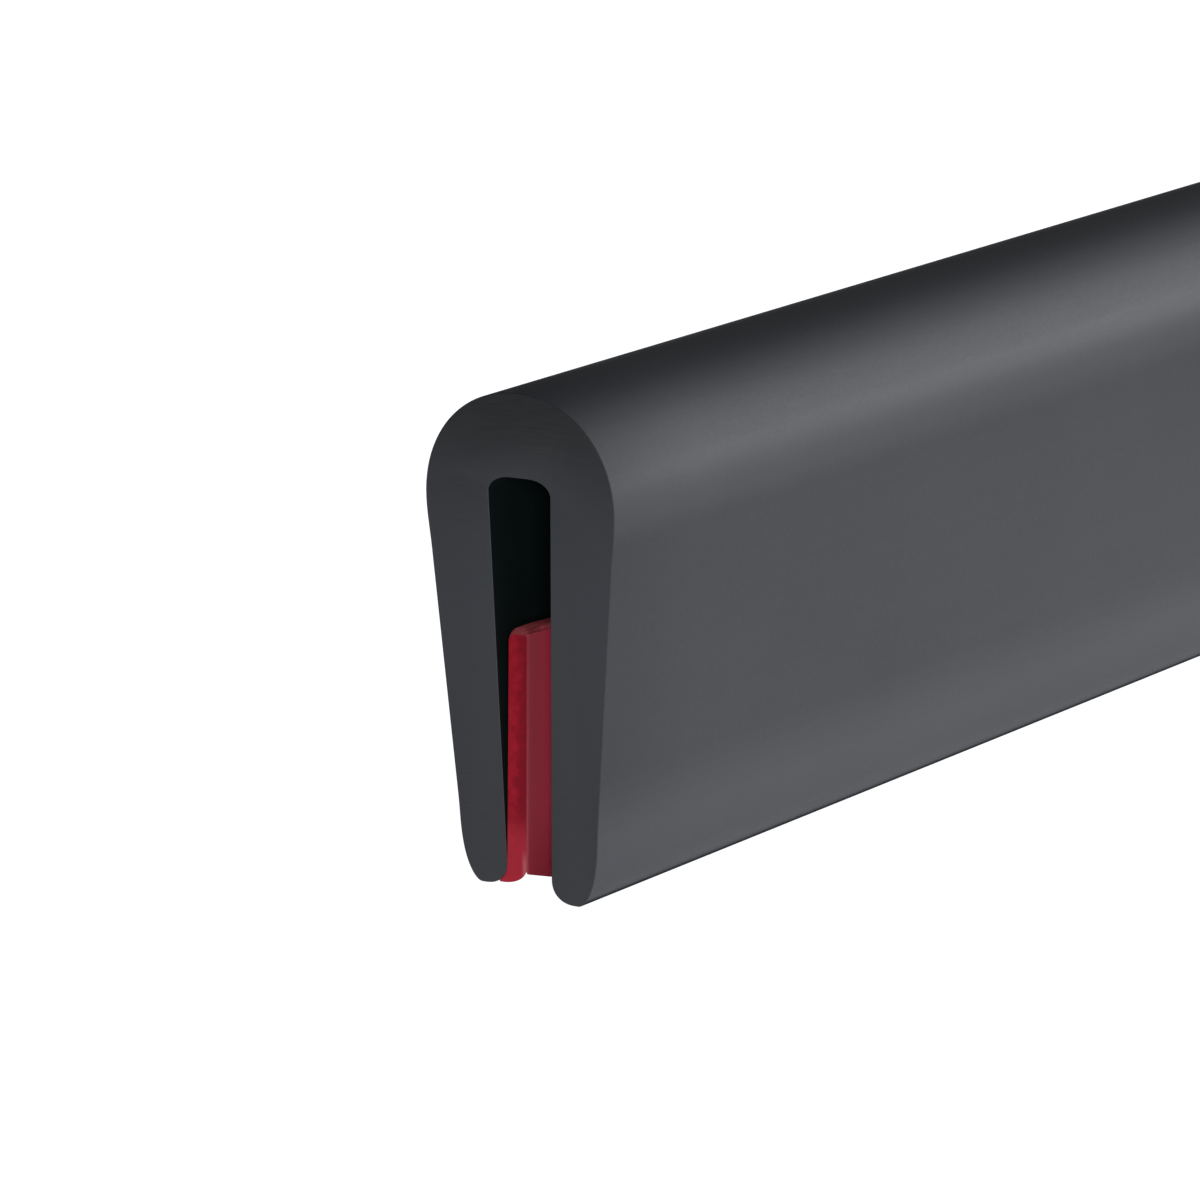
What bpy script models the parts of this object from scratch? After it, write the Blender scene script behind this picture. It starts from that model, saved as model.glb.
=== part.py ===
"""Edge trim seal: one straight length of U-section rubber trim, open downwards, that presses over the edge of a panel.

A strip of adhesive foam tape hangs inside the slot on one leg, and a thin release liner covers the tape's face.
The section lies in the X-Z plane and runs along Y. The trim is centred on the origin, with the tip of its longer leg
at Z = 0.
Sizes are in metres.
"""

import math

import bmesh
import bpy

# The rubber profile
LENGTH = 0.3048              # one foot, the unit that such trim is sold by
WIDTH = 0.0111               # over the widest level of the crown
HEIGHT = 0.0251              # from the long leg's tip to the top of the crown
CROWN_RISE = 0.0055          # from the widest level to the top of the crown
CROWN_THICKNESS = 0.00417    # rubber above the slot
LEG_END_WIDTH = 0.00803      # over both legs, where the tips begin to round
SLOT_TOP_WIDTH = 0.00365
SLOT_MOUTH_WIDTH = 0.00262
SLOT_CORNER_RUN = 0.00125    # how far each top corner of the slot reaches in from its wall
SLOT_CORNER_DROP = 0.00079   # how far each top corner reaches down from the slot floor
SHORT_LEG_LIFT = 0.00053     # the leg with the tape ends this much higher than the other

# The rounding of each leg tip, on the outer side and on the slot's side
TIP_OUTER_RUN = 0.00117
TIP_OUTER_RISE = 0.00273
TIP_INNER_RISE = 0.00114
TIP_FLAT = 0.0002            # the flat that a tip stands on

# The foam tape, bonded to the short leg at its lower edge and leaning away from the leg above it
TAPE_WIDTH = 0.0127          # half an inch, a stock width, from the lower edge to the upper
TAPE_THICKNESS = 0.001
TAPE_STEP = 0.0002           # how far the tape's lower edge is above the short leg's tip
TAPE_NOSE_RISE = 0.00091     # rounding of the tape's lower outer edge
TAPE_EDGE_RADIUS = 0.00025   # rounding of its upper edges
TAPE_LEAN = math.radians(2.0)

# The release liner, trimmed at a slant at its lower corners
LINER_THICKNESS = 0.0002
LINER_MARGIN = 0.00013       # how far the liner's upper edge is below the tape's
LINER_CLIP_RUN = 0.00175
LINER_CLIP_RISE = 0.00053
LINER_CORNER_RADIUS = 0.0002

BOND_GAP = 0.00005           # clearance between pieces that touch

# How square the rounded corners are: 2 is an ellipse, less is flatter and more is squarer
ROUND = 2.0
CROWN_FULLNESS = 2.08
OUTER_TIP_FULLNESS = 1.8
INNER_TIP_FULLNESS = 2.2

CROWN_STEPS = 40
TIP_STEPS = 12
CORNER_STEPS = 8

SMOOTH_ANGLE = math.radians(30.0)
WELD_DISTANCE = 1.0e-7

RUBBER_COLOUR = (0.046, 0.047, 0.053, 1.0)
RUBBER_ROUGHNESS = 0.55
TAPE_COLOUR = (0.270, 0.013, 0.022, 1.0)
TAPE_ROUGHNESS = 0.6
LINER_COLOUR = (0.170, 0.020, 0.030, 1.0)
LINER_ROUGHNESS = 0.35

slot_floor = HEIGHT - CROWN_THICKNESS
shoulder = HEIGHT - CROWN_RISE
tip_inner_run = LEG_END_WIDTH / 2 - TIP_OUTER_RUN - TIP_FLAT - SLOT_MOUTH_WIDTH / 2
tape_bottom = SHORT_LEG_LIFT + TAPE_STEP
tape_top = tape_bottom + TAPE_WIDTH


def arc(centre, run, rise, start, end, steps, fullness=ROUND):
    """Points of a superellipse round a centre, from one angle to another, in degrees."""
    points = []
    for step in range(steps + 1):
        angle = math.radians(start + (end - start) * step / steps)
        across = math.copysign(abs(math.cos(angle)) ** (2 / fullness), math.cos(angle))
        up = math.copysign(abs(math.sin(angle)) ** (2 / fullness), math.sin(angle))
        points.append((centre[0] + run * across, centre[1] + rise * up))
    return points


def mirrored(points):
    """The same points on the other side of the section, in the opposite order."""
    return [(-x, z) for x, z in reversed(points)]


def leg_tip(lift):
    """The tip of the leg at +X, from the slot's wall round to the outer wall."""
    inner_centre = (SLOT_MOUTH_WIDTH / 2 + tip_inner_run, TIP_INNER_RISE + lift)
    outer_centre = (LEG_END_WIDTH / 2 - TIP_OUTER_RUN, TIP_OUTER_RISE + lift)
    inner = arc(inner_centre, tip_inner_run, TIP_INNER_RISE, 180, 270, TIP_STEPS, INNER_TIP_FULLNESS)
    outer = arc(outer_centre, TIP_OUTER_RUN, TIP_OUTER_RISE, 270, 360, TIP_STEPS, OUTER_TIP_FULLNESS)
    return inner + outer


def profile_outline():
    """The U section, anticlockwise from the right end of the crown."""
    crown = arc((0.0, shoulder), WIDTH / 2, CROWN_RISE, 0, 180, CROWN_STEPS, CROWN_FULLNESS)
    corner_centre = (SLOT_TOP_WIDTH / 2 - SLOT_CORNER_RUN, slot_floor - SLOT_CORNER_DROP)
    slot_corner = arc(corner_centre, SLOT_CORNER_RUN, SLOT_CORNER_DROP, 90, 0, CORNER_STEPS)
    return crown + mirrored(leg_tip(SHORT_LEG_LIFT)) + mirrored(slot_corner) + slot_corner + leg_tip(0.0)


def tape_foot():
    """Where the tape's back leaves the short leg: a point just clear of the slot's wall, above the rounded tip."""
    return (-SLOT_MOUTH_WIDTH / 2 + BOND_GAP, SHORT_LEG_LIFT + TIP_INNER_RISE)


def on_back(height):
    """The point of the tape's leaning back at a height."""
    foot = tape_foot()
    return foot[0] + (height - foot[1]) * math.tan(TAPE_LEAN)


def on_face(height):
    """The point of the tape's leaning face at a height."""
    return on_back(height) + TAPE_THICKNESS / math.cos(TAPE_LEAN)


def tape_outline():
    """The tape's section: its back follows the leg's rounded tip, and its face ends in a rounded nose."""
    tip_centre = (-SLOT_MOUTH_WIDTH / 2 - tip_inner_run, SHORT_LEG_LIFT + TIP_INNER_RISE)
    tip_run = tip_inner_run + BOND_GAP
    tip_rise = TIP_INNER_RISE + BOND_GAP
    wrap = arc(tip_centre, tip_run, tip_rise, 360, 270, TIP_STEPS, INNER_TIP_FULLNESS)
    wrap = [point for point in wrap if point[1] > tape_bottom]
    depth = (tip_centre[1] - tape_bottom) / tip_rise
    reach = (1 - depth ** INNER_TIP_FULLNESS) ** (1 / INNER_TIP_FULLNESS)
    lower_edge = (tip_centre[0] + tip_run * reach, tape_bottom)

    nose_top = tape_bottom + TAPE_NOSE_RISE
    nose_centre = (on_face(nose_top) - TAPE_THICKNESS, nose_top)
    nose = arc(nose_centre, TAPE_THICKNESS, TAPE_NOSE_RISE, 270, 360, TIP_STEPS)

    rim = tape_top - TAPE_EDGE_RADIUS
    right_centre = (on_face(rim) - TAPE_EDGE_RADIUS, rim)
    left_centre = (on_back(rim) + TAPE_EDGE_RADIUS, rim)
    right_rim = arc(right_centre, TAPE_EDGE_RADIUS, TAPE_EDGE_RADIUS, 0, 90, CORNER_STEPS)
    left_rim = arc(left_centre, TAPE_EDGE_RADIUS, TAPE_EDGE_RADIUS, 90, 180, CORNER_STEPS)
    return wrap + [lower_edge] + nose + right_rim + left_rim


def liner_outline():
    """The liner's outline along the tape's face: X is along the trim, Y is up the face from the tape's lower edge."""
    half = LENGTH / 2
    top = (TAPE_WIDTH - LINER_MARGIN) / math.cos(TAPE_LEAN)
    corner_centre = (half - LINER_CORNER_RADIUS, LINER_CLIP_RISE + LINER_CORNER_RADIUS)
    lower = [(half - LINER_CLIP_RUN, 0.0)]
    lower += arc(corner_centre, LINER_CORNER_RADIUS, LINER_CORNER_RADIUS, 270, 360, CORNER_STEPS)
    right = lower + [(half, top)]
    return right + [(-x, y) for x, y in reversed(right)]


def material(name, colour, roughness):
    shader = bpy.data.materials.new(name)
    shader.use_nodes = True
    principled = shader.node_tree.nodes["Principled BSDF"]
    principled.inputs["Base Color"].default_value = colour
    principled.inputs["Roughness"].default_value = roughness
    principled.inputs["Metallic"].default_value = 0.0
    return shader


def extruded(name, outline, depth, rotation, location, shader, collection):
    """A flat outline thickened to a depth, made a mesh with its caps welded on and its round stretches smooth."""
    curve = bpy.data.curves.new(name + "_outline", "CURVE")
    curve.dimensions = "2D"
    curve.fill_mode = "BOTH"
    curve.extrude = depth / 2
    spline = curve.splines.new("POLY")
    spline.points.add(len(outline) - 1)
    for point, (x, y) in zip(spline.points, outline):
        point.co = (x, y, 0.0, 1.0)
    spline.use_cyclic_u = True
    flat = bpy.data.objects.new(name + "_outline", curve)
    flat.rotation_euler = rotation
    flat.location = location
    collection.objects.link(flat)
    bpy.context.view_layer.update()

    depsgraph = bpy.context.evaluated_depsgraph_get()
    mesh = bpy.data.meshes.new_from_object(flat.evaluated_get(depsgraph))
    mesh.name = name
    welded = bmesh.new()
    welded.from_mesh(mesh)
    bmesh.ops.remove_doubles(welded, verts=welded.verts, dist=WELD_DISTANCE)
    bmesh.ops.recalc_face_normals(welded, faces=welded.faces)
    welded.to_mesh(mesh)
    welded.free()
    mesh.shade_smooth()
    mesh.set_sharp_from_angle(angle=SMOOTH_ANGLE)
    mesh.materials.clear()
    mesh.materials.append(shader)

    solid = bpy.data.objects.new(name, mesh)
    solid.matrix_world = flat.matrix_world.copy()
    collection.objects.link(solid)
    bpy.data.objects.remove(flat)
    return solid


def build():
    for old in list(bpy.data.objects):
        bpy.data.objects.remove(old)
    collection = bpy.data.collections.new("edge_trim_seal")
    bpy.context.scene.collection.children.link(collection)

    # A section's outline is drawn in X and Z, and its depth runs along Y
    upright = (math.radians(90.0), 0.0, 0.0)
    centred = (0.0, 0.0, 0.0)
    rubber = material("rubber", RUBBER_COLOUR, RUBBER_ROUGHNESS)
    extruded("trim_profile", profile_outline(), LENGTH, upright, centred, rubber, collection)
    foam = material("tape", TAPE_COLOUR, TAPE_ROUGHNESS)
    extruded("adhesive_tape", tape_outline(), LENGTH, upright, centred, foam, collection)

    # The liner's outline lies along the tape's leaning face, and its depth stands off that face
    stand_off = BOND_GAP + LINER_THICKNESS / 2
    along_face = (math.radians(90.0) + TAPE_LEAN, 0.0, math.radians(90.0))
    against_face = (
        on_face(tape_bottom) + stand_off * math.cos(TAPE_LEAN),
        0.0,
        tape_bottom - stand_off * math.sin(TAPE_LEAN),
    )
    film = material("liner", LINER_COLOUR, LINER_ROUGHNESS)
    extruded("release_liner", liner_outline(), LINER_THICKNESS, along_face, against_face, film, collection)


build()
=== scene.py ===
# %% [markdown]
# # Edge trim seal
# This lesson dresses one straight length of black rubber trim. Its section is a tall U, open downwards, and it presses
# over the edge of a panel. A red foam tape hangs inside the slot, and a thin film covers the tape until it is used.
#
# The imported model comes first, because it fixes every place and size. Its nodes are faceted solids made for measuring
# and for physics, so each visible piece is made again here, smoother, in the same place.

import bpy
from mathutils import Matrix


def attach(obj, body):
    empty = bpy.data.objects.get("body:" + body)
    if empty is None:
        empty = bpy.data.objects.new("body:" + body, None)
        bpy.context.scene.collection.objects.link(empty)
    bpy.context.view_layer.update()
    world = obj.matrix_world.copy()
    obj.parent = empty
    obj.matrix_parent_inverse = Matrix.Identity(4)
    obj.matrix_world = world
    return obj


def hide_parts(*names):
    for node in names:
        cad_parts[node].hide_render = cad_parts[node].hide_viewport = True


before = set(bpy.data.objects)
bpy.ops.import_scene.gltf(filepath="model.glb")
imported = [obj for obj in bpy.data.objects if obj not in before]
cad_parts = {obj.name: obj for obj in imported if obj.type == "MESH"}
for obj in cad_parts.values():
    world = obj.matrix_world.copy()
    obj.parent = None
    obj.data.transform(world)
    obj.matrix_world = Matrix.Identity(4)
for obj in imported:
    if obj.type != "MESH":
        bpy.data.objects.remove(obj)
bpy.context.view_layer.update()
print("nodes:", sorted(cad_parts))

# %% The modules that the lesson uses
import math

import bmesh
import bpy
from mathutils import Quaternion, Vector

millimetre = 0.001

# %% [markdown]
# ## The camera
# The picture looks at the near end of the trim from the right, about 35 degrees round and 13 degrees above the floor.
# The lines that run along the trim hardly meet, which is what a long lens far away does. A long lens also shows little
# of the 305 mm length: the trim runs out of the frame at the right.
#
# The camera gets a place, a point that it looks at, and a slight roll, as a hand-held camera has.

# %% Place the camera
camera_place = Vector((0.194659, -0.423658, 0.091248))
camera_aim = Vector((-0.55937, 0.79834, -0.22307))
camera_roll = math.radians(-1.4225)
camera_lens = 213.23
camera_sensor = 36.0

camera = bpy.data.objects.new("camera", bpy.data.cameras.new("camera"))
bpy.context.scene.collection.objects.link(camera)
camera.data.lens = camera_lens
camera.data.sensor_width = camera_sensor
camera.data.clip_start = 0.01
camera.data.clip_end = 20.0
camera.location = camera_place
camera.rotation_mode = "QUATERNION"
level = camera_aim.to_track_quat("-Z", "Y")
camera.rotation_quaternion = level @ Quaternion((0.0, 0.0, 1.0), camera_roll)
bpy.context.scene.camera = camera
view_angle = 2 * math.degrees(math.atan(camera_sensor / 2 / camera_lens))
print("view angle:", round(view_angle, 2), "degrees")

# %% [markdown]
# ## The rubber section
# Rubber trim is pushed through a die, so one outline says everything about its shape. This outline is drawn once, as a
# closed curve, and swept along the length later. Nothing is modelled twice.
#
# The crown is a wide arch. The two legs draw in from the crown to their tips, so that they grip a panel, and the leg
# with the tape ends half a millimetre higher. Every corner is a piece of a superellipse, a stretched circle whose
# fullness says how square it is.

# %% Sizes of the rubber section
trim_length = 304.8 * millimetre
trim_width = 11.1 * millimetre
trim_height = 25.1 * millimetre
crown_rise = 5.5 * millimetre
crown_thickness = 4.17 * millimetre
leg_end_width = 8.03 * millimetre
slot_top_width = 3.65 * millimetre
slot_mouth_width = 2.62 * millimetre
slot_corner_run = 1.25 * millimetre
slot_corner_drop = 0.79 * millimetre
short_leg_lift = 0.53 * millimetre
tip_outer_run = 1.17 * millimetre
tip_outer_rise = 2.73 * millimetre
tip_inner_rise = 1.14 * millimetre
tip_flat = 0.2 * millimetre
tip_inner_fullness = 2.2
tip_outer_fullness = 1.8
crown_fullness = 2.08
wall_shares = (0.09, 0.3, 0.5, 0.7, 0.84)

widest_level = trim_height - crown_rise
slot_floor = trim_height - crown_thickness
tip_inner_run = (leg_end_width - slot_mouth_width) / 2 - tip_outer_run - tip_flat
print("slot:", round(1000 * slot_mouth_width, 2), "mm at its mouth")


# %% Draw a rounded corner
def rounded(centre, run, rise, start, end, steps, fullness=2.0):
    """Points round a centre from one angle to another, in degrees. A fullness of 2 is an ellipse."""
    points = []
    for step in range(steps + 1):
        angle = math.radians(start + (end - start) * step / steps)
        across = math.copysign(abs(math.cos(angle)) ** (2 / fullness), math.cos(angle))
        up = math.copysign(abs(math.sin(angle)) ** (2 / fullness), math.sin(angle))
        points.append(Vector((centre[0] + run * across, centre[1] + rise * up)))
    return points


def mirrored(points):
    """The same points on the other side of the section, in the opposite order."""
    return [Vector((-point.x, point.y)) for point in reversed(points)]


# %% [markdown]
# The arch and the straight leg would meet in a faint crease, which catches the light as a hard line. The die has none,
# so a short eased stretch joins them: a cubic curve that leaves one end in the arch's direction and arrives in the
# leg's. The same is done where the leg turns into its tip.

# %% Ease one stretch into the next
def eased(before, after, steps=10):
    """Points between two stretches, leaving along the first one's end and arriving along the second one's start."""
    start, end = before[-1], after[0]
    leave = (before[-1] - before[-2]).normalized() * (end - start).length
    arrive = (after[1] - after[0]).normalized() * (end - start).length
    points = []
    for step in range(1, steps):
        t = step / steps
        from_start = (2 * t ** 3 - 3 * t ** 2 + 1) * start + (t ** 3 - 2 * t ** 2 + t) * leave
        to_end = (3 * t ** 2 - 2 * t ** 3) * end + (t ** 3 - t ** 2) * arrive
        points.append(from_start + to_end)
    return points


def leg(lift):
    """The leg at the right, from the slot's wall round its tip and up the outer wall."""
    inner_centre = (slot_mouth_width / 2 + tip_inner_run, tip_inner_rise + lift)
    outer_centre = (leg_end_width / 2 - tip_outer_run, tip_outer_rise + lift)
    inner = rounded(inner_centre, tip_inner_run, tip_inner_rise, 180, 270, 20, tip_inner_fullness)
    outer = rounded(outer_centre, tip_outer_run, tip_outer_rise, 270, 338, 22, tip_outer_fullness)
    foot = Vector((leg_end_width / 2, tip_outer_rise + lift))
    shoulder = Vector((trim_width / 2, widest_level))
    wall = [foot.lerp(shoulder, share) for share in wall_shares]
    return inner + outer + eased(outer, wall) + wall


def rubber_outline():
    """The whole U section, anticlockwise."""
    right, left = leg(0.0), mirrored(leg(short_leg_lift))
    crown = rounded((0.0, widest_level), trim_width / 2, crown_rise, 9, 171, 96, crown_fullness)
    corner_centre = (slot_top_width / 2 - slot_corner_run, slot_floor - slot_corner_drop)
    slot_corner = rounded(corner_centre, slot_corner_run, slot_corner_drop, 90, 0, 14)
    outside = right + eased(right, crown) + crown + eased(crown, left) + left
    return outside + mirrored(slot_corner) + slot_corner


def section_curve(name, outline):
    """A closed curve of straight steps, flat in X and Y, that a sweep can carry along."""
    curve = bpy.data.curves.new(name, "CURVE")
    curve.dimensions = "2D"
    spline = curve.splines.new("POLY")
    spline.points.add(len(outline) - 1)
    for point, place in zip(spline.points, outline):
        point.co = (place.x, place.y, 0.0, 1.0)
    spline.use_cyclic_u = True
    drawn = bpy.data.objects.new(name, curve)
    bpy.context.scene.collection.objects.link(drawn)
    return drawn


rubber_section = section_curve("rubber_section", rubber_outline())
print("rubber section:", len(rubber_section.data.splines[0].points), "points")


# %% [markdown]
# ## A sweep that cuts its own ends
# A Geometry Nodes tree carries a section along a straight path and closes both ends. Its inputs have names, so one tree
# makes the rubber and the foam, each with its own section, length and finish.
#
# A blade never leaves a perfect corner. The rows of the path crowd together near both ends, and each row there pulls
# the section in by a quarter circle's amount, which rounds the cut edge. The section's own direction, turned a quarter
# turn, says which way is outward.

# %% Helpers for building node trees
def add(tree, kind, inputs=None, **settings):
    """Puts a node in a tree. Each input is a plain value, or an output of another node to link."""
    node = tree.nodes.new(kind)
    for name, value in settings.items():
        setattr(node, name, value)
    for name, value in (inputs or {}).items():
        if isinstance(value, bpy.types.NodeSocket):
            tree.links.new(value, node.inputs[name])
        else:
            node.inputs[name].default_value = value
    return node


def calculate(tree, operation, first, second=0.0):
    """One step of arithmetic in a tree."""
    return add(tree, "ShaderNodeMath", {0: first, 1: second}, operation=operation).outputs[0]


def new_tree(kind, name, inputs, outputs):
    """An empty node tree with named sockets, and its two end nodes."""
    tree = bpy.data.node_groups.new(name, kind)
    for socket, form in inputs.items():
        tree.interface.new_socket(name=socket, in_out="INPUT", socket_type=form)
    for socket, form in outputs.items():
        tree.interface.new_socket(name=socket, in_out="OUTPUT", socket_type=form)
    return tree, tree.nodes.new("NodeGroupInput").outputs, tree.nodes.new("NodeGroupOutput")


# %% Build the sweep
sweep, given, result = new_tree(
    "GeometryNodeTree",
    "sweep with cut ends",
    {
        "Section": "NodeSocketObject",
        "Length": "NodeSocketFloat",
        "Edge radius": "NodeSocketFloat",
        "Edge rows": "NodeSocketInt",
        "Body rows": "NodeSocketInt",
        "Finish": "NodeSocketMaterial",
    },
    {"Geometry": "NodeSocketGeometry"},
)

# How many rows each path point is from the nearer cut, and how far that is round the quarter circle
last_row = calculate(sweep, "ADD", calculate(sweep, "MULTIPLY", given["Edge rows"], 2.0), given["Body rows"])
row = add(sweep, "GeometryNodeInputIndex").outputs[0]
from_cut = calculate(sweep, "MINIMUM", row, calculate(sweep, "SUBTRACT", last_row, row))
edge_row = calculate(sweep, "MINIMUM", from_cut, given["Edge rows"])
turn = calculate(sweep, "DIVIDE", calculate(sweep, "MULTIPLY", edge_row, math.pi / 2), given["Edge rows"])
body_row = calculate(sweep, "SUBTRACT", from_cut, edge_row)

# Where each row lies along the path, and how much it pulls the section in
radius = given["Edge radius"]
body_length = calculate(sweep, "SUBTRACT", given["Length"], calculate(sweep, "MULTIPLY", radius, 2.0))
row_length = calculate(sweep, "DIVIDE", body_length, given["Body rows"])
edge_depth = calculate(sweep, "MULTIPLY", radius, calculate(sweep, "SUBTRACT", 1.0, calculate(sweep, "COSINE", turn)))
depth = calculate(sweep, "ADD", edge_depth, calculate(sweep, "MULTIPLY", body_row, row_length))
half = calculate(sweep, "MULTIPLY", given["Length"], 0.5)
from_middle = calculate(sweep, "SUBTRACT", half, depth)
near_half = calculate(sweep, "LESS_THAN", row, calculate(sweep, "MULTIPLY", last_row, 0.5))
side = calculate(sweep, "SUBTRACT", 1.0, calculate(sweep, "MULTIPLY", near_half, 2.0))
along = calculate(sweep, "MULTIPLY", from_middle, side)
pull = calculate(sweep, "MULTIPLY", radius, calculate(sweep, "SUBTRACT", 1.0, calculate(sweep, "SINE", turn)))

# The path, with its pull kept on its points
line = add(sweep, "GeometryNodeCurvePrimitiveLine", {"Start": (0.0, -1.0, 0.0), "End": (0.0, 1.0, 0.0)})
row_count = calculate(sweep, "ADD", last_row, 1.0)
rows = add(sweep, "GeometryNodeResampleCurve", {"Curve": line.outputs[0], "Count": row_count})
kept_pull = add(sweep, "GeometryNodeCaptureAttribute", {"Geometry": rows.outputs[0]})
kept_pull.capture_items.new("FLOAT", "Pull")
sweep.links.new(pull, kept_pull.inputs["Pull"])
kept_along = add(sweep, "GeometryNodeCaptureAttribute", {"Geometry": kept_pull.outputs["Geometry"]})
kept_along.capture_items.new("FLOAT", "Along")
sweep.links.new(along, kept_along.inputs["Along"])

# The section, with its own place and its outward direction kept on its points
section = add(sweep, "GeometryNodeObjectInfo", {"Object": given["Section"]})
kept_place = add(sweep, "GeometryNodeCaptureAttribute", {"Geometry": section.outputs["Geometry"]})
kept_place.capture_items.new("VECTOR", "Place")
sweep.links.new(add(sweep, "GeometryNodeInputPosition").outputs[0], kept_place.inputs["Place"])
kept_outward = add(sweep, "GeometryNodeCaptureAttribute", {"Geometry": kept_place.outputs["Geometry"]})
kept_outward.capture_items.new("VECTOR", "Outward")
tangent = add(sweep, "GeometryNodeInputTangent").outputs[0]
outward = add(sweep, "ShaderNodeVectorMath", {0: tangent, 1: (0.0, 0.0, 1.0)}, operation="CROSS_PRODUCT").outputs[0]
sweep.links.new(outward, kept_outward.inputs["Outward"])

# The sweep joins the rows up, and the section's X and Y become the trim's X and Z
swept = add(
    sweep,
    "GeometryNodeCurveToMesh",
    {"Curve": kept_along.outputs["Geometry"], "Profile Curve": kept_outward.outputs["Geometry"], "Fill Caps": True},
)
pulled = add(
    sweep,
    "ShaderNodeVectorMath",
    {0: kept_outward.outputs["Outward"], "Scale": calculate(sweep, "MULTIPLY", kept_pull.outputs["Pull"], -1.0)},
    operation="SCALE",
)
flat_place = add(
    sweep,
    "ShaderNodeVectorMath",
    {0: kept_place.outputs["Place"], 1: pulled.outputs[0]},
    operation="ADD",
)
across = add(sweep, "ShaderNodeSeparateXYZ", {0: flat_place.outputs[0]}).outputs
upright = add(sweep, "ShaderNodeCombineXYZ", {"X": across["X"], "Y": kept_along.outputs["Along"], "Z": across["Y"]})
placed = add(sweep, "GeometryNodeSetPosition", {"Geometry": swept.outputs[0], "Position": upright.outputs[0]})
real = add(sweep, "GeometryNodeRealizeInstances", {"Geometry": placed.outputs[0]})
painted = add(sweep, "GeometryNodeSetMaterial", {"Geometry": real.outputs[0], "Material": given["Finish"]})
sweep.links.new(painted.outputs[0], result.inputs["Geometry"])
print("sweep tree:", len(sweep.nodes), "nodes")


# %% [markdown]
# A modifier runs the tree, and the result is copied out as a plain mesh. After that the modifier and the drawn section
# are removed, so that what is left is a piece like any other: a mesh with its place in its own points.

# %% Turn a swept section into a plain piece
crease_angle = math.radians(35.0)


def finish_mesh(mesh):
    """Faces outwards, round stretches smooth, cut faces flat."""
    tidy = bmesh.new()
    tidy.from_mesh(mesh)
    bmesh.ops.recalc_face_normals(tidy, faces=tidy.faces)
    for face in tidy.faces:
        face.smooth = len(face.verts) == 4
    tidy.to_mesh(mesh)
    volume = tidy.calc_volume()
    tidy.free()
    mesh.set_sharp_from_angle(angle=crease_angle)
    return volume


def swept_piece(name, section, edge_radius, edge_rows, body_rows, finish):
    """Runs the sweep on a section and gives back the plain piece."""
    piece = bpy.data.objects.new(name, bpy.data.meshes.new(name))
    bpy.context.scene.collection.objects.link(piece)
    modifier = piece.modifiers.new("sweep", "NODES")
    modifier.node_group = sweep
    values = {
        "Section": section,
        "Length": trim_length,
        "Edge radius": edge_radius,
        "Edge rows": edge_rows,
        "Body rows": body_rows,
        "Finish": finish,
    }
    for item in sweep.interface.items_tree:
        if item.in_out == "INPUT":
            modifier[item.identifier] = values[item.name]
    graph = bpy.context.evaluated_depsgraph_get()
    made = bpy.data.meshes.new_from_object(piece.evaluated_get(graph))
    piece.modifiers.remove(modifier)
    piece.data = made
    made.name = name
    volume = finish_mesh(made)
    bpy.data.objects.remove(section)
    print(name, "has", len(made.polygons), "faces and", round(volume * 1e9, 1), "mm3")
    return piece


# %% [markdown]
# ## Effects that the finishes share
# Three things give these surfaces their look. Fine grain breaks up the shine. Drawn lines run along the length, where
# the die dragged on the material. Blade marks show only on the two cut ends. Each is a node group with named inputs, so
# that rubber, foam and film use the same idea with their own sizes. Sizes are in metres, as on the object itself.

# %% Fine grain
grain, given, result = new_tree(
    "ShaderNodeTree",
    "fine grain",
    {"Place": "NodeSocketVector", "Grain size": "NodeSocketFloat"},
    {"Grain": "NodeSocketFloat"},
)
speckle = add(
    grain,
    "ShaderNodeTexNoise",
    {"Vector": given["Place"], "Scale": calculate(grain, "DIVIDE", 1.0, given["Grain size"]), "Detail": 3.0},
)
grain.links.new(speckle.outputs[0], result.inputs["Grain"])

# %% Lines drawn along the length
drawn, given, result = new_tree(
    "ShaderNodeTree",
    "drawn lines",
    {"Place": "NodeSocketVector", "Line spacing": "NodeSocketFloat", "Stretch": "NodeSocketFloat"},
    {"Lines": "NodeSocketFloat"},
)
across = add(drawn, "ShaderNodeSeparateXYZ", {0: given["Place"]}).outputs
slow = calculate(drawn, "DIVIDE", across["Y"], given["Stretch"])
stretched = add(drawn, "ShaderNodeCombineXYZ", {"X": across["X"], "Y": slow, "Z": across["Z"]})
streak = add(
    drawn,
    "ShaderNodeTexNoise",
    {"Vector": stretched.outputs[0], "Scale": calculate(drawn, "DIVIDE", 1.0, given["Line spacing"]), "Detail": 2.0},
)
drawn.links.new(streak.outputs[0], result.inputs["Lines"])

# %% The cut ends and the marks of the blade
cut, given, result = new_tree(
    "ShaderNodeTree",
    "blade cut",
    {
        "Place": "NodeSocketVector",
        "Half length": "NodeSocketFloat",
        "Reach": "NodeSocketFloat",
        "Mark spacing": "NodeSocketFloat",
    },
    {"On the cut": "NodeSocketFloat", "Marks": "NodeSocketFloat"},
)
across = add(cut, "ShaderNodeSeparateXYZ", {0: given["Place"]}).outputs
start = calculate(cut, "SUBTRACT", given["Half length"], given["Reach"])
on_cut = add(
    cut,
    "ShaderNodeMapRange",
    {"Value": calculate(cut, "ABSOLUTE", across["Y"]), "From Min": start, "From Max": given["Half length"]},
    interpolation_type="SMOOTHSTEP",
)
slanted = add(
    cut,
    "ShaderNodeMapping",
    {"Vector": given["Place"], "Rotation": (0.0, math.radians(24.0), 0.0), "Scale": (0.08, 0.0, 1.0)},
)
scored = add(
    cut,
    "ShaderNodeTexNoise",
    {"Vector": slanted.outputs[0], "Scale": calculate(cut, "DIVIDE", 1.0, given["Mark spacing"]), "Detail": 2.0},
)
cut.links.new(on_cut.outputs[0], result.inputs["On the cut"])
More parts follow.
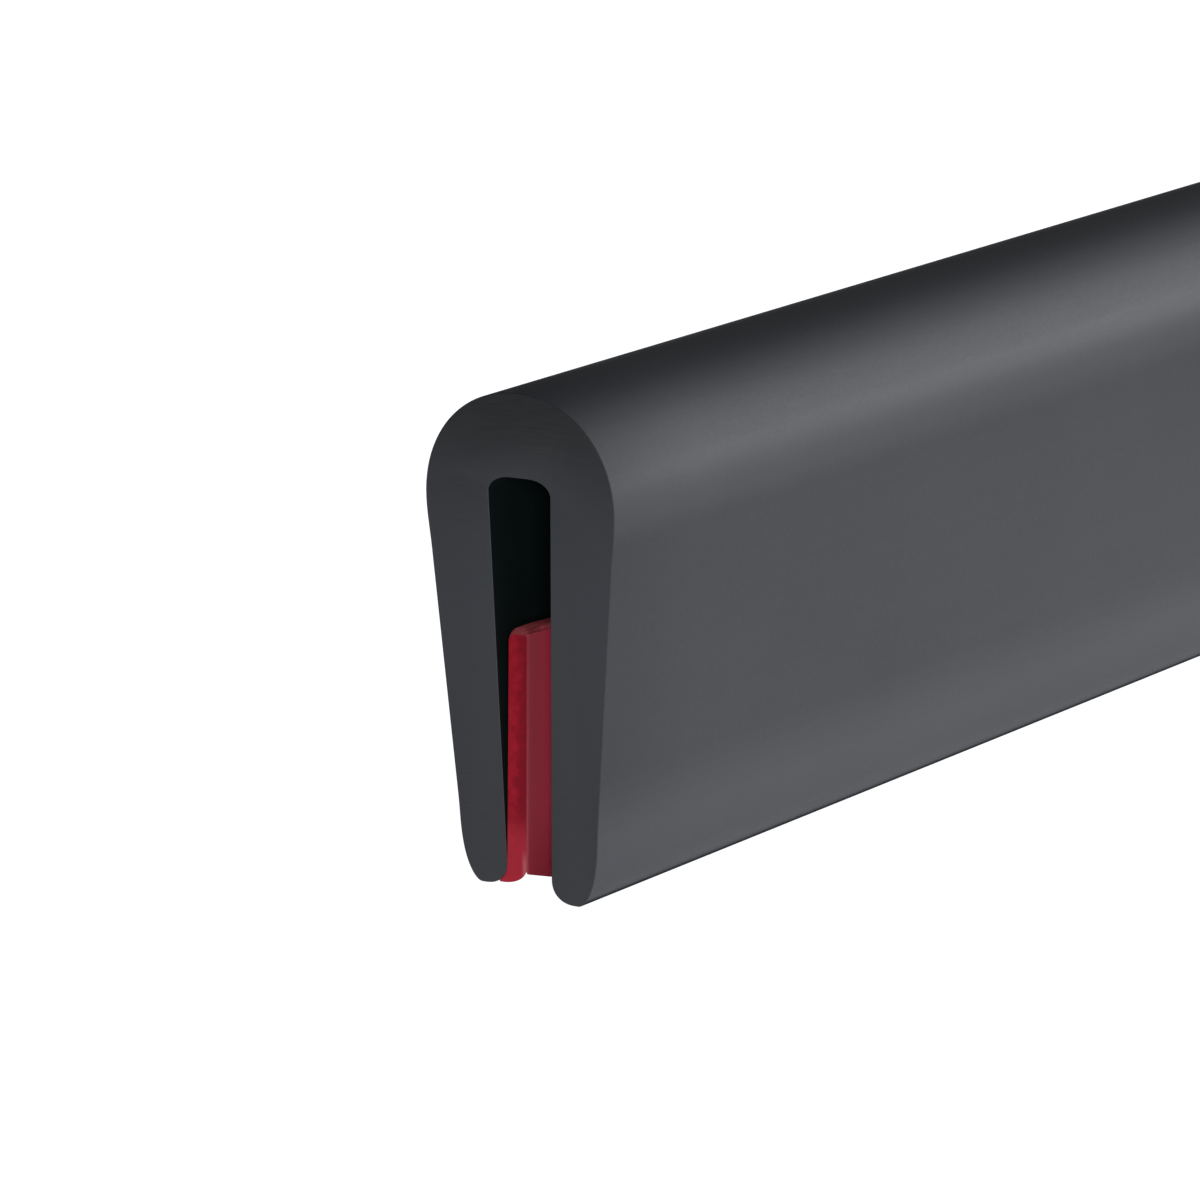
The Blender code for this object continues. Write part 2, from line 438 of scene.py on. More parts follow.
cut.links.new(scored.outputs[0], result.inputs["Marks"])
print("shared effects:", [group.name for group in (grain, drawn, cut)])


# %% Helpers for the finishes
def new_finish(name, specular):
    """A material with its shader and the object's own coordinates ready."""
    finish = bpy.data.materials.new(name)
    finish.use_nodes = True
    tree = finish.node_tree
    shader = tree.nodes["Principled BSDF"]
    shader.inputs["Specular IOR Level"].default_value = specular
    place = add(tree, "ShaderNodeTexCoord").outputs["Object"]
    return finish, tree, shader, place


def use(tree, group, inputs):
    """Places a shared effect in a material with its own values."""
    return add(tree, "ShaderNodeGroup", inputs, node_tree=group).outputs


def cut_effect(tree, place, reach, mark_spacing=0.1 * millimetre):
    """The blade's effect on both ends of the trim, fading out at a reach from each cut."""
    sizes = {"Place": place, "Half length": trim_length / 2, "Reach": reach, "Mark spacing": mark_spacing}
    return use(tree, cut, sizes)


def spread(tree, value, low, high, from_low=0.3, from_high=0.7):
    """Stretches a pattern's middle values to a range."""
    node = add(
        tree,
        "ShaderNodeMapRange",
        {"Value": value, "From Min": from_low, "From Max": from_high, "To Min": low, "To Max": high},
    )
    return node.outputs[0]


def between(tree, value, off, full):
    """A soft step: 0 at one value, 1 at the other."""
    node = add(
        tree,
        "ShaderNodeMapRange",
        {"Value": value, "From Min": off, "From Max": full},
        interpolation_type="SMOOTHSTEP",
    )
    return node.outputs[0]


def blend(tree, share, first, second):
    """A colour between two colours."""
    node = add(tree, "ShaderNodeMix", data_type="RGBA")
    for socket, value in ((node.inputs[0], share), (node.inputs[6], first), (node.inputs[7], second)):
        if isinstance(value, bpy.types.NodeSocket):
            tree.links.new(value, socket)
        else:
            socket.default_value = value
    return node.outputs[2]


def raised(tree, height, depth, below=None):
    """A bump of a real depth in metres, over another bump if one is given."""
    node = add(tree, "ShaderNodeBump", {"Height": height, "Distance": depth, "Strength": 1.0})
    if below is not None:
        tree.links.new(below, node.inputs["Normal"])
    return node.outputs[0]


# %% [markdown]
# ## The rubber's finish
# The rubber is near black and satin. It is smooth to the touch, but the light shows faint lines along its length, a
# very fine grain, and soft clouds where the surface has bloomed a little greyer. Two paler bands are painted light: a
# painted highlight at the widest level, and painted light above the leg tips. The slot is painted near black as painted
# shade. On the cut ends the blade has left a duller face with slanted marks; the crown's end of it has painted shade,
# and it grows darker towards the leg tips.

# %% Where the rubber's finish changes
# Heights of the painted light above the leg tips and of the painted highlight at the widest level
tip_light_top, tip_light_full = 6.6 * millimetre, 3.0 * millimetre
tip_light_ragged = 0.2 * millimetre
tip_light_strength = 0.20
tip_light_foot, tip_light_foot_share = 2.4 * millimetre, 0.35
shoulder_low, shoulder_full = 17.8 * millimetre, 19.3 * millimetre
shoulder_high, shoulder_fade = 22.6 * millimetre, 20.2 * millimetre
shoulder_highlight_strength = 0.16
# Where the painted shade in the slot starts
slot_wall_start, slot_wall_full = slot_top_width / 2 + 0.25 * millimetre, slot_top_width / 2 + 0.1 * millimetre
slot_roof_start = slot_floor + 0.6 * millimetre
# Where the painted shade on the crown's end of the cut face starts
crown_shade_start = 16.5 * millimetre
# Where the cut face starts to grow darker towards the leg tips, and where it is darkest
tip_dark_start, tip_dark_full = 16.0 * millimetre, 1.0 * millimetre

# %% Make the rubber finish
rubber, tree, shader, place = new_finish("rubber", 0.47)
lines = use(tree, drawn, {"Place": place, "Line spacing": 0.5 * millimetre, "Stretch": 90.0})["Lines"]
pores = use(tree, grain, {"Place": place, "Grain size": 0.16 * millimetre})["Grain"]
clouds = use(tree, grain, {"Place": place, "Grain size": 9.0 * millimetre})["Grain"]
blade = cut_effect(tree, place, 0.06 * millimetre, 0.12 * millimetre)
across = add(tree, "ShaderNodeSeparateXYZ", {0: place}).outputs
off_centre = calculate(tree, "ABSOLUTE", across["X"])

# Skin: clouds of bloom, painted light above the leg tips, a painted highlight at the shoulder, and painted shade in the
# slot
skin = blend(tree, spread(tree, clouds, 0.0, 1.0), (0.0064, 0.0075, 0.0114, 1.0), (0.0096, 0.0108, 0.0152, 1.0))
# Painted light: a paler band above the leg tips, with a ragged upper edge, thinning out at the very foot
ragged = calculate(tree, "ADD", across["Z"], spread(tree, lines, -tip_light_ragged, tip_light_ragged))
painted_light = calculate(tree, "MULTIPLY", between(tree, ragged, tip_light_top, tip_light_full), tip_light_strength)
foot = spread(tree, between(tree, across["Z"], 0.0, tip_light_foot), tip_light_foot_share, 1.0, 0.0, 1.0)
painted_light = calculate(tree, "MULTIPLY", painted_light, foot)
# Painted highlight: a paler band at the widest level
shoulder = calculate(
    tree,
    "MULTIPLY",
    between(tree, across["Z"], shoulder_low, shoulder_full),
    between(tree, across["Z"], shoulder_high, shoulder_fade),
)
painted_light = calculate(tree, "ADD", painted_light, calculate(tree, "MULTIPLY", shoulder, shoulder_highlight_strength))
# The paler colour that both bands of painted light use
skin = blend(tree, painted_light, skin, (0.078, 0.081, 0.090, 1.0))
# Painted shade: the slot's walls and roof are painted near black
in_slot = between(tree, off_centre, slot_wall_start, slot_wall_full)
in_slot = calculate(tree, "MULTIPLY", in_slot, between(tree, across["Z"], slot_roof_start, slot_floor))
skin = blend(tree, in_slot, skin, (0.0010, 0.0038, 0.0034, 1.0))

# Cut face: blade marks, painted shade on the crown's end, and darker towards the leg tips
marked = spread(tree, blade["Marks"], 0.0, 1.0)
face = blend(tree, marked, (0.0128, 0.0139, 0.0180, 1.0), (0.0162, 0.0173, 0.0218, 1.0))
# Darker towards the leg tips
face = blend(tree, between(tree, across["Z"], tip_dark_start, tip_dark_full), face, (0.0058, 0.0066, 0.0100, 1.0))
# Painted shade: the cut face darkens towards the crown
crown_shade_zone = between(tree, across["Z"], crown_shade_start, trim_height)
face = blend(tree, crown_shade_zone, face, (0.0092, 0.0094, 0.0106, 1.0))
tree.links.new(blend(tree, blade["On the cut"], skin, face), shader.inputs["Base Color"])

skin_shine = calculate(tree, "ADD", spread(tree, lines, -0.006, 0.006), spread(tree, pores, 0.52, 0.58))
skin_shine = calculate(tree, "ADD", skin_shine, calculate(tree, "MULTIPLY", in_slot, -0.12))
cut_shine = spread(tree, blade["Marks"], 0.56, 0.64)
cut_shine = calculate(tree, "ADD", cut_shine, calculate(tree, "MULTIPLY", crown_shade_zone, -0.12))
shine = add(tree, "ShaderNodeMix", {0: blade["On the cut"], 2: skin_shine, 3: cut_shine}, data_type="FLOAT")
tree.links.new(shine.outputs[0], shader.inputs["Roughness"])

relief = raised(tree, pores, 0.0018 * millimetre)
relief = raised(tree, lines, 0.0008 * millimetre, relief)
marks = calculate(tree, "MULTIPLY", blade["Marks"], blade["On the cut"])
relief = raised(tree, marks, 0.004 * millimetre, relief)
tree.links.new(relief, shader.inputs["Normal"])
print("rubber finish:", len(tree.nodes), "nodes")

# %% [markdown]
# ## The rubber
# The drawn section and the finish go into the sweep. The edge of the cut is rounded by a few hundredths of a
# millimetre only, because a sharp blade leaves rubber crisp.

# %% Make the rubber
rubber_piece = swept_piece("rubber_trim", rubber_section, 0.04 * millimetre, 4, 40, rubber)
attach(rubber_piece, "root")
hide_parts("trim_profile")

# %% [markdown]
# ## The foam tape's finish
# The tape is a soft acrylic foam, dyed red all through. Its cut end shows the cells as fine mottling, brighter and
# darker by turns, while its long faces are a smoother skin. Foam is matt, because its cells scatter the light.
#
# The blade has left its traces too. Towards the film the cut end grows gradually darker. Near the bottom it is painted
# paler, as painted light from below, with a painted highlight at the lower corner. Beside the cut the upper edge is a
# mottled skin with painted light on top and painted shade towards the film, and darker still right at the cut.

# %% Where the foam's finish changes
# Where the cut end grows darker towards the film
film_side_dark_start, film_side_dark_full = -1.25 * millimetre, -0.50 * millimetre
film_side_dark_lean = 0.055
# Heights of the painted light from below on the cut end
light_from_below_start, light_from_below_full = 4.5 * millimetre, 2.6 * millimetre
# Place of the painted highlight at the lower corner by the film
corner_highlight_edge, corner_highlight_full = -0.48 * millimetre, -0.28 * millimetre
corner_highlight_top, corner_highlight_low = 2.6 * millimetre, 1.6 * millimetre
face_side_start, face_side_full = 0.02 * millimetre, 0.16 * millimetre

# %% Make the foam finish
foam, tree, shader, place = new_finish("foam", 0.06)
cells = add(tree, "ShaderNodeTexVoronoi", {"Vector": place, "Scale": 1 / (0.11 * millimetre)}).outputs["Distance"]
specks = use(tree, grain, {"Place": place, "Grain size": 0.14 * millimetre})["Grain"]
blade = cut_effect(tree, place, 0.045 * millimetre)
near_cut = cut_effect(tree, place, 2.4 * millimetre)
beside_cut = cut_effect(tree, place, 0.6 * millimetre)
tears = use(tree, grain, {"Place": place, "Grain size": 0.45 * millimetre})["Grain"]
across = add(tree, "ShaderNodeSeparateXYZ", {0: place}).outputs

# Cut face: open cells, darker towards the film, painted light near the bottom, and a painted highlight at the lower
# corner
open_cells = blend(tree, spread(tree, tears, 0.0, 1.0), (0.143, 0.0016, 0.0070, 1.0), (0.220, 0.0040, 0.0130, 1.0))
open_cells = blend(tree, spread(tree, specks, 0.0, 0.30), open_cells, (0.24, 0.011, 0.021, 1.0))
# Darker towards the film, along a ragged line
ragged = calculate(tree, "ADD", across["X"], spread(tree, tears, 0.16 * millimetre, -0.16 * millimetre))
ragged = calculate(tree, "ADD", ragged, spread(tree, specks, -0.10 * millimetre, 0.10 * millimetre))
ragged = calculate(tree, "SUBTRACT", ragged, calculate(tree, "MULTIPLY", across["Z"], film_side_dark_lean))
film_side_dark = between(tree, ragged, film_side_dark_start, film_side_dark_full)
open_cells = blend(tree, calculate(tree, "MULTIPLY", film_side_dark, 0.85), open_cells, (0.113, 0.0025, 0.0080, 1.0))
# Painted light from below: the lower part of the cut end is painted paler
light_from_below = between(tree, across["Z"], light_from_below_start, light_from_below_full)
open_cells = blend(tree, calculate(tree, "MULTIPLY", light_from_below, 0.7), open_cells, (0.262, 0.0155, 0.0265, 1.0))
# Painted highlight: the lower corner by the film is painted pale pink
corner_highlight = calculate(
    tree,
    "MULTIPLY",
    between(tree, across["X"], corner_highlight_edge, corner_highlight_full),
    between(tree, across["Z"], corner_highlight_top, corner_highlight_low),
)
open_cells = blend(tree, calculate(tree, "MULTIPLY", corner_highlight, 0.6), open_cells, (0.300, 0.0800, 0.0950, 1.0))

# Skin: mottled, and beside the cut painted light on top, painted shade towards the film, and darker right at the cut
skin = blend(tree, spread(tree, specks, 0.0, 1.0), (0.26, 0.034, 0.041, 1.0), (0.40, 0.070, 0.078, 1.0))
# Painted light: the top beside the cut is painted paler
painted_top_light = blend(tree, spread(tree, specks, 0.0, 1.0), (0.290, 0.043, 0.050, 1.0), (0.650, 0.150, 0.156, 1.0))
# Painted shade: the face side under the top is painted darker towards the film
painted_film_side_shade = blend(tree, spread(tree, specks, 0.0, 1.0), (0.045, 0.006, 0.008, 1.0), (0.120, 0.020, 0.024, 1.0))
face_side = between(tree, across["X"], face_side_start, face_side_full)
painted_top_light_and_shade = blend(tree, face_side, painted_top_light, painted_film_side_shade)
# Darker right at the cut
painted_top_light_and_shade = blend(tree, beside_cut["On the cut"], painted_top_light_and_shade, (0.120, 0.022, 0.024, 1.0))
painted_skin_share = calculate(tree, "MULTIPLY", near_cut["On the cut"], 0.85)
skin = blend(tree, painted_skin_share, skin, painted_top_light_and_shade)
tree.links.new(blend(tree, blade["On the cut"], skin, open_cells), shader.inputs["Base Color"])

tree.links.new(spread(tree, specks, 0.50, 0.70), shader.inputs["Roughness"])
relief = raised(tree, cells, 0.004 * millimetre)
tree.links.new(raised(tree, specks, 0.006 * millimetre, relief), shader.inputs["Normal"])
print("foam finish:", len(tree.nodes), "nodes")

# %% [markdown]
# ## The foam tape
# The tape is half an inch wide and about one millimetre thick. Its lower edge is bonded round the tip of the short
# leg, and above that it leans two degrees away from the leg, which leaves a thin dark wedge between them. It is the
# same all along, so the sweep makes it too, from its own section.

# %% Sizes of the tape
tape_width = 12.7 * millimetre
tape_thickness = 1.10 * millimetre
tape_step = 0.2 * millimetre
tape_nose_run = 1.45 * millimetre
tape_nose_rise = 0.84 * millimetre
tape_heel = -1.80 * millimetre
tape_heel_drop = 0.07 * millimetre
tape_heel_radius = 0.02 * millimetre
tape_back_radius = 0.38 * millimetre
tape_face_radius = 0.15 * millimetre
tape_lean = math.radians(2.0)
bond_gap = 0.05 * millimetre
tape_bottom = short_leg_lift + tape_step
tape_top = tape_bottom + tape_width
tape_foot = Vector((-slot_mouth_width / 2 + bond_gap, short_leg_lift + tip_inner_rise))


# %% Draw the tape's section
def on_back(height):
    """How far across the tape's leaning back is at a height."""
    return tape_foot.x + (height - tape_foot.y) * math.tan(tape_lean)


def on_face(height):
    """How far across the tape's leaning face is at a height."""
    return on_back(height) + tape_thickness / math.cos(tape_lean)


def tape_outline():
    """The tape's section: its heel follows the leg's tip, its nose is round, and it rises to two soft upper edges."""
    tip_centre = (-slot_mouth_width / 2 - tip_inner_run, short_leg_lift + tip_inner_rise)
    tip = rounded(tip_centre, tip_inner_run, tip_inner_rise, 360, 270, 30, tip_inner_fullness)
    underside = tape_bottom - tape_heel_drop
    wrap = [point for point in tip if point.x > tape_heel]
    heel_centre = (tape_heel + tape_heel_radius, underside + tape_heel_radius)
    wrap += rounded(heel_centre, tape_heel_radius, tape_heel_radius, 180, 270, 4)
    nose_top = underside + tape_nose_rise
    nose_centre = (on_face(nose_top) - tape_nose_run, nose_top)
    nose = rounded(nose_centre, tape_nose_run, tape_nose_rise, 270, 360, 20)
    face_rim, back_rim = tape_top - tape_face_radius, tape_top - tape_back_radius
    right_centre = (on_face(face_rim) - tape_face_radius, face_rim)
    left_centre = (on_back(back_rim) + tape_back_radius, back_rim)
    right = rounded(right_centre, tape_face_radius, tape_face_radius, 0, 90, 10)
    left = rounded(left_centre, tape_back_radius, tape_back_radius, 90, 180, 16)
    return wrap + nose + right + left


# %% Make the tape
tape_section = section_curve("tape_section", tape_outline())
tape_piece = swept_piece("foam_tape", tape_section, 0.03 * millimetre, 4, 40, foam)

# %% [markdown]
# Soft foam doesn't keep a straight edge where a blade has crossed it. The blade rounds the upper edge down to the cut,
# and it draws the lower edge in just behind the cut, so that the cut itself stands out a little below. A few more rows
# of points are cut into the mesh near both ends, and each point is then moved up or down by its distance from the cut.

# %% Cut more rows near both ends of a piece
def add_rows(piece, depths):
    """Cuts a piece across at some distances from both of its ends."""
    cut_up = bmesh.new()
    cut_up.from_mesh(piece.data)
    for depth in depths:
        for end in (-1, 1):
            everything = cut_up.verts[:] + cut_up.edges[:] + cut_up.faces[:]
            place = (0.0, end * (trim_length / 2 - depth), 0.0)
            bmesh.ops.bisect_plane(cut_up, geom=everything, plane_co=place, plane_no=(0.0, 1.0, 0.0), dist=1.0e-7)
    cut_up.to_mesh(piece.data)
    cut_up.free()


def soft_step(value, off, full):
    """0 at one value, 1 at the other, and an even curve between them."""
    share = min(max((value - off) / (full - off), 0.0), 1.0)
    return share * share * (3 - 2 * share)


# %% Let the foam give near its cuts
row_depths = (0.08, 0.12, 0.17, 0.23, 0.31, 0.4, 0.6, 0.9, 1.3, 1.8, 2.4, 3.2, 4.2, 5.6, 7.2, 9.0)
press_radius = 0.40 * millimetre
upper_start, upper_full = tape_top - 0.9 * millimetre, tape_top - 0.4 * millimetre
upper_rise = 0.04 * millimetre
upper_dip = 0.09 * millimetre
dip_start, dip_full = 1.2 * millimetre, 3.4 * millimetre
wave_start, wave_end = 4.2 * millimetre, 9.0 * millimetre
lower_start, lower_full = tape_bottom + 1.1 * millimetre, tape_bottom + 0.4 * millimetre
neck_rise = 0.30 * millimetre
neck_full = 0.26 * millimetre
neck_start, neck_end = 1.6 * millimetre, 4.0 * millimetre


def leg_wall(height):
    """How far across the short leg's rounded tip is, on the slot's side, at a height."""
    below = min(max(tape_foot.y - height, 0.0) / tip_inner_rise, 1.0)
    reach = (1 - below ** tip_inner_fullness) ** (1 / tip_inner_fullness)
    return -slot_mouth_width / 2 - tip_inner_run * (1 - reach)


def foam_shift(point):
    """How far a point of the tape moves up, from its place in the section and its distance from the nearer cut."""
    from_cut = max(trim_length / 2 - abs(point.y), 0.0)
    upper = soft_step(point.z, upper_start, upper_full)
    short_of = max(press_radius - from_cut, 0.0)
    press = press_radius - math.sqrt(press_radius ** 2 - short_of ** 2)
    wave = upper_rise - upper_dip * soft_step(from_cut, dip_start, dip_full)
    wave *= 1 - soft_step(from_cut, wave_start, wave_end)
    lower = soft_step(point.z, lower_start, lower_full)
    neck = soft_step(from_cut, 0.0, neck_full)
    neck *= 1 - soft_step(from_cut, neck_start, neck_end)
    return lower * neck * neck_rise + upper * (wave - press)


add_rows(tape_piece, [depth * millimetre for depth in row_depths])
for vertex in tape_piece.data.vertices:
    vertex.co.z += foam_shift(vertex.co)
    vertex.co.x = max(vertex.co.x, leg_wall(vertex.co.z))
tape_piece.data.update()
print("foam_tape now has", len(tape_piece.data.polygons), "faces")

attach(tape_piece, "root")
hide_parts("adhesive_tape")

# %% [markdown]
# ## The release film's finish
# The film is smooth and has a low gloss, so it looks paler and greyer than the foam where it catches light. It was
# wound on a roll, which leaves faint creases across it. The same drawn lines do for them, on coordinates that are
# turned a quarter turn so that the lines run up the film. Its colour carries painted light by depth: greyer and darker
# near the cut, and a brighter red from two millimetres in, against the long leg's shade deeper in the slot. Towards the
# bottom it is painted darker, as painted shade against the floor's light.

# %% Where the film's finish changes
# Reach of the painted light by depth from the cut
depth_light_reach = 2.4 * millimetre
# Heights and strength of the painted shade towards the film's bottom
bottom_shade_start, bottom_shade_full = 5.0 * millimetre, 1.0 * millimetre
bottom_shade_strength = 0.45

# How much of the near-cut grey is left where the painted brighter red starts to show, and where it is complete
depth_light_start, depth_light_full = 0.42, 0.16

# %% Make the film finish
film, tree, shader, place = new_finish("film", 0.20)
turned = add(tree, "ShaderNodeMapping", {"Vector": place, "Rotation": (math.radians(90.0), 0.0, 0.0)}).outputs[0]
creases = use(tree, drawn, {"Place": turned, "Line spacing": 0.7 * millimetre, "Stretch": 30.0})["Lines"]
haze = use(tree, grain, {"Place": place, "Grain size": 0.2 * millimetre})["Grain"]
blade = cut_effect(tree, place, 0.02 * millimetre)
depth_light = cut_effect(tree, place, depth_light_reach)
dyed = blend(tree, spread(tree, creases, 0.0, 1.0), (0.42, 0.030, 0.056, 1.0), (0.36, 0.036, 0.056, 1.0))
# Painted light by depth: greyer and darker near the cut, brighter red deeper in, against the long leg's shade
dyed = blend(tree, depth_light["On the cut"], dyed, (0.240, 0.030, 0.041, 1.0))
painted_deep_red = blend(tree, spread(tree, creases, 0.0, 1.0), (0.490, 0.037, 0.067, 1.0), (0.440, 0.042, 0.067, 1.0))
dyed = blend(tree, between(tree, depth_light["On the cut"], depth_light_start, depth_light_full), dyed, painted_deep_red)
height = add(tree, "ShaderNodeSeparateXYZ", {0: place}).outputs["Z"]
# Painted shade: the film is painted darker towards the bottom, against the floor's light
bottom_shade = between(tree, height, bottom_shade_start, bottom_shade_full)
dyed = blend(tree, calculate(tree, "MULTIPLY", bottom_shade, bottom_shade_strength), dyed, (0.20, 0.012, 0.022, 1.0))
tree.links.new(blend(tree, blade["On the cut"], dyed, (0.17, 0.018, 0.028, 1.0)), shader.inputs["Base Color"])
tree.links.new(spread(tree, haze, 0.30, 0.42), shader.inputs["Roughness"])
relief = raised(tree, creases, 0.004 * millimetre)
tree.links.new(raised(tree, haze, 0.0008 * millimetre, relief), shader.inputs["Normal"])
print("film finish:", len(tree.nodes), "nodes")

# %% [markdown]
# ## The release film
# The film is a flat strip with its lower corners clipped at a slant, so it has no single section to sweep. Its outline
# is drawn flat on the tape's leaning face instead, and it hangs a little below the tape. A Solidify modifier gives it
# its thickness, away from the foam, and a Bevel modifier takes the hardness off its edges.

# %% Sizes of the film
film_thickness = 0.11 * millimetre
film_margin = 0.13 * millimetre
film_clip_run = 2.05 * millimetre
film_clip_rise = 0.465 * millimetre
film_corner_radius = 0.18 * millimetre
film_drop = 0.09 * millimetre
film_dip = 0.12 * millimetre
film_dip_full = 2.5 * millimetre
film_dip_start, film_dip_end = 4.0 * millimetre, 12.0 * millimetre
film_columns = 24
film_extra_columns = (0.8, 1.8, 3.2, 5.0)


# %% Draw the film on the tape's face
def film_point(along, up):
    """A point of the tape's leaning face, from a place along the trim and a height up the face."""
    height = tape_bottom + up * math.cos(tape_lean)
    return Vector((on_face(height), along, height))


def film_outline():
    """One end of the film's lower edge: the clipped corner, from the lower edge round to the end."""
    half = trim_length / 2
    centre = (half - film_corner_radius, film_clip_rise + film_corner_radius)
    corner = rounded(centre, film_corner_radius, film_corner_radius, 280, 360, 8)
    return [Vector((half - film_clip_run, -film_drop))] + corner


def film_mesh():
    """The film's face as upright strips between its lower and its upper edge."""
    right = film_outline()
    lower = [Vector((-point.x, point.y)) for point in reversed(right)]
    inner = trim_length - 2 * film_clip_run
    start = lower[-1].x
    lower += [Vector((start + inner * step / film_columns, -film_drop)) for step in range(1, film_columns)] + right
    inner_half = trim_length / 2 - film_clip_run
    extra = [inner_half - step * millimetre for step in film_extra_columns]
    lower += [Vector((side * place, -film_drop)) for place in extra for side in (-1, 1)]
    lower.sort(key=lambda point: point.x)
    top = (tape_width - film_margin) / math.cos(tape_lean)
    flat = bmesh.new()
    low = [flat.verts.new(film_point(point.x, point.y)) for point in lower]
    high = []
    for point in lower:
        from_cut = trim_length / 2 - abs(point.x)
        dip = film_dip * soft_step(from_cut, 0.0, film_dip_full)
        dip *= 1 - soft_step(from_cut, film_dip_start, film_dip_end)
        high.append(flat.verts.new(film_point(point.x, top - dip)))
    for column in range(len(lower) - 1):
        flat.faces.new((low[column], low[column + 1], high[column + 1], high[column]))
    bmesh.ops.remove_doubles(flat, verts=flat.verts, dist=1.0e-7)
    mesh = bpy.data.meshes.new("release_film")
    flat.to_mesh(mesh)
    flat.free()
    return mesh


# %% Make the film
film_piece = bpy.data.objects.new("release_film", film_mesh())
bpy.context.scene.collection.objects.link(film_piece)
film_piece.data.materials.append(film)
thicken = film_piece.modifiers.new("thickness", "SOLIDIFY")
thicken.thickness = film_thickness
thicken.offset = 1.0
soften = film_piece.modifiers.new("soft edges", "BEVEL")
soften.width = 0.045 * millimetre
soften.segments = 3
soften.limit_method = "ANGLE"
graph = bpy.context.evaluated_depsgraph_get()
film_piece.data = bpy.data.meshes.new_from_object(film_piece.evaluated_get(graph))
film_piece.modifiers.clear()
film_piece.data.name = "release_film"
film_volume = finish_mesh(film_piece.data)
film_piece.data.shade_smooth()
film_piece.data.set_sharp_from_angle(angle=crease_angle)
print("release_film has", len(film_piece.data.polygons), "faces and", round(film_volume * 1e9, 1), "mm3")
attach(film_piece, "root")
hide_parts("release_liner")

# %% [markdown]
# ## The studio
# The trim stands on a white sheet lit from below, as small products often do, so that the background burns out to
# white and the shadow nearly disappears. Above the sheet the room is dim. That contrast shapes the rubber: the crown
# mirrors the dim room and stays dark, while the flank mirrors the bright sheet.

# %% Make the floor
floor_side = 6.0
floor_mesh = bpy.data.meshes.new("floor")
sheet = bmesh.new()
bmesh.ops.create_grid(sheet, x_segments=1, y_segments=1, size=floor_side / 2)
sheet.to_mesh(floor_mesh)
sheet.free()
floor = bpy.data.objects.new("floor", floor_mesh)
bpy.context.scene.collection.objects.link(floor)

lit_sheet = bpy.data.materials.new("lit_sheet")
lit_sheet.use_nodes = True
shader = lit_sheet.node_tree.nodes["Principled BSDF"]
shader.inputs["Base Color"].default_value = (0.25, 0.25, 0.25, 1.0)
shader.inputs["Roughness"].default_value = 0.9
shader.inputs["Specular IOR Level"].default_value = 0.0
shader.inputs["Emission Color"].default_value = (0.960, 0.975, 1.0, 1.0)
shader.inputs["Emission Strength"].default_value = 1.04
floor_mesh.materials.append(lit_sheet)

# %% [markdown]
# Photographers shape a dark shiny thing with black cards, called flags, as much as with lamps. One lies in front of the
# cut end, so that the crown's end mirrors less of the white sheet than the leg tips do. A narrow one lies under the
# slot and keeps it dark. A third one lies far to the right: the flank is seen more and more edge-on towards the right
# and would grow brighter there, and the card takes that back. The camera doesn't see any of them.

# %% Lay the black flags
flag_level = 0.04 * millimetre
flag_black = bpy.data.materials.new("flag_black")
flag_black.use_nodes = True
shader = flag_black.node_tree.nodes["Principled BSDF"]
shader.inputs["Base Color"].default_value = (0.01, 0.01, 0.01, 1.0)
shader.inputs["Roughness"].default_value = 1.0
shader.inputs["Specular IOR Level"].default_value = 0.0


def flag(name, left, right, front, back):
    """A black card on the floor, seen by the other lights and surfaces but not by the camera."""
    card = bpy.data.meshes.new(name)
    corners = [(left, front), (right, front), (right, back), (left, back)]
    card.from_pydata([(x, y, flag_level) for x, y in corners], [], [(0, 1, 2, 3)])
    card.materials.append(flag_black)
    laid = bpy.data.objects.new(name, card)
    bpy.context.scene.collection.objects.link(laid)
    laid.visible_camera = False
    return laid


near_end = -trim_length / 2
flag("front_flag", -1.0, 0.12, -1.2, near_end - 0.050)
flag("slot_flag", -slot_mouth_width / 2, 3.35 * millimetre, near_end, -near_end)
flag("far_flag", 0.035, 0.40, -0.040, 0.60)

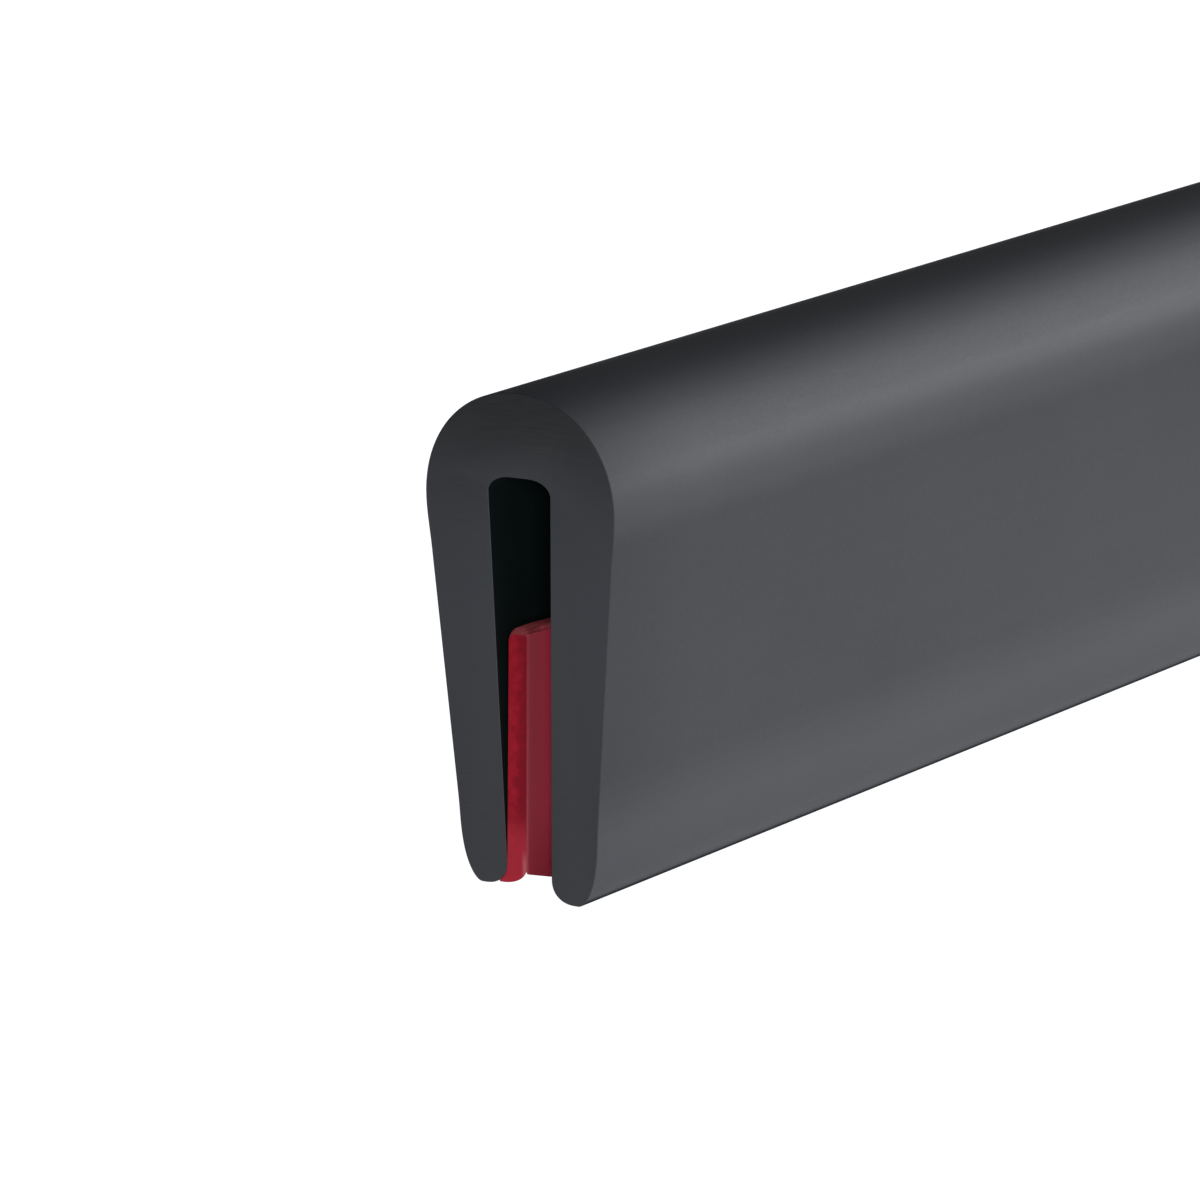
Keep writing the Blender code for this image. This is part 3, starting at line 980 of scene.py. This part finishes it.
# %% [markdown]
# The room is white to the eye of the camera, so that other views have a plain background too, and dim to everything
# else. A Light Path node tells the two apart.

# %% Make the room
room_seen = 1.0
room_light = 0.10
room = bpy.data.worlds.new("room")
bpy.context.scene.world = room
room.use_nodes = True
tree = room.node_tree
backdrop = tree.nodes["Background"]
backdrop.inputs["Color"].default_value = (1.0, 1.0, 1.0, 1.0)
to_camera = add(tree, "ShaderNodeLightPath").outputs["Is Camera Ray"]
strength = add(tree, "ShaderNodeMapRange", {"Value": to_camera, "To Min": room_light, "To Max": room_seen})
tree.links.new(strength.outputs[0], backdrop.inputs["Strength"])


# %% [markdown]
# ## The soft lights
# A satin surface shows a blurred mirror picture of what is round it, so the lights are placed by what each part of the
# crown mirrors. Three soft lights stand behind the trim on the right, opposite the camera: a low one that the shoulder
# mirrors as a broad pale band, a middle one for the slope above it, and a weak high one for the top. The fourth stands
# beside the camera. It opens up the cut end and lets the red strip glow in the dark slot.

# %% Place the soft lights
cool_white = (0.95, 0.97, 1.0)


def soft_light(name, direction, distance, width, height, power):
    """A rectangular light at a distance in some direction, turned to the trim's near end."""
    lamp = bpy.data.lights.new(name, "AREA")
    lamp.shape = "RECTANGLE"
    lamp.size = width
    lamp.size_y = height
    lamp.energy = power
    lamp.color = cool_white
    stand = bpy.data.objects.new(name, lamp)
    bpy.context.scene.collection.objects.link(stand)
    towards = Vector(direction).normalized()
    stand.location = towards * distance + Vector((0.0, -0.1, 0.0))
    stand.rotation_mode = "QUATERNION"
    stand.rotation_quaternion = towards.to_track_quat("Z", "Y")
    stand.visible_camera = False
    return stand


soft_light("shoulder_light", (0.57, 0.80, 0.10), 2.0, 1.2, 0.5, 16.2)
soft_light("crown_light", (0.15, 0.80, 0.58), 2.0, 0.9, 0.7, 3.2)
soft_light("middle_light", (0.42, 0.80, 0.42), 2.0, 0.7, 0.6, 9.3)
soft_light("camera_fill", (0.53, -0.83, 0.20), 1.5, 0.6, 0.5, 20.4)
bpy.context.scene.view_settings.view_transform = "Standard"
